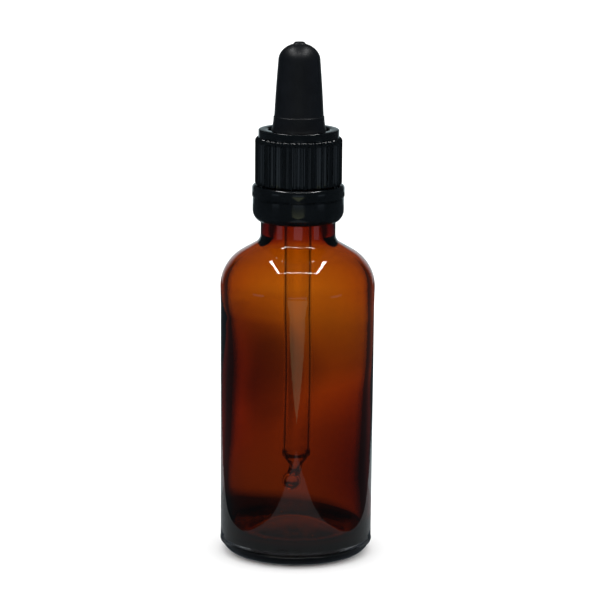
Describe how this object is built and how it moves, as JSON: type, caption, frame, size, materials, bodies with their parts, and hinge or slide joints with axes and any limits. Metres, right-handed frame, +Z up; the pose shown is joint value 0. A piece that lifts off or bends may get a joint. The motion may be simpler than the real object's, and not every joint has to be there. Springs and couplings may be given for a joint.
{
  "type": "dropper bottle",
  "caption": "Amber glass round bottle with a black ribbed tamper-evident screw cap, a rubber teat and a ball-tipped clear glass pipette, for dosing liquid by the drop.",
  "frame": {"origin": "centre of the base, on the surface that the bottle stands on", "axes": "+Z up along the bottle's axis; the pipette's tip leans towards -X"},
  "size_m": [0.0372, 0.0372, 0.1262],
  "materials": {
    "amber_glass": "amber soda-lime glass, blow moulded, glossy",
    "clear_glass": "clear drawn glass tube, fire polished",
    "black_polypropylene": "black injection-moulded polypropylene, glossy",
    "black_rubber": "black moulded butyl rubber, satin"
  },
  "bodies": {
    "bottle": {"bottle": "amber_glass"},
    "tamper_band": {"tamper_band": "black_polypropylene"},
    "dropper": {"teat_seat": "black_rubber", "pipette": "clear_glass"},
    "teat_bulb": {"teat_bulb": "black_rubber"},
    "cap": {"screw_cap": "black_polypropylene"}
  },
  "joints": [
    {"name": "dropper_lift", "type": "slide", "parent": "bottle", "child": "dropper", "axis": [0, 0, 1], "range_m": [0, 0.095]},
    {"name": "cap_twist", "type": "hinge", "parent": "dropper", "child": "cap", "pos_m": [0, 0, 0.0985], "axis": [0, 0, 1], "range_deg": [0, 540]},
    {"name": "bulb_squeeze", "type": "slide", "parent": "dropper", "child": "teat_bulb", "axis": [1, 0, 0], "range_m": [0, 0.0035], "stiffness_N_per_m": 1500, "deforming": ["teat_bulb"]},
    {"name": "band_drop", "type": "slide", "parent": "bottle", "child": "tamper_band", "axis": [0, 0, 1], "range_m": [-0.003, 0]}
  ],
  "couplings": [
    {"joint": "cap_twist", "follows": "dropper_lift", "rad_per_m": 99.208}
  ]
}
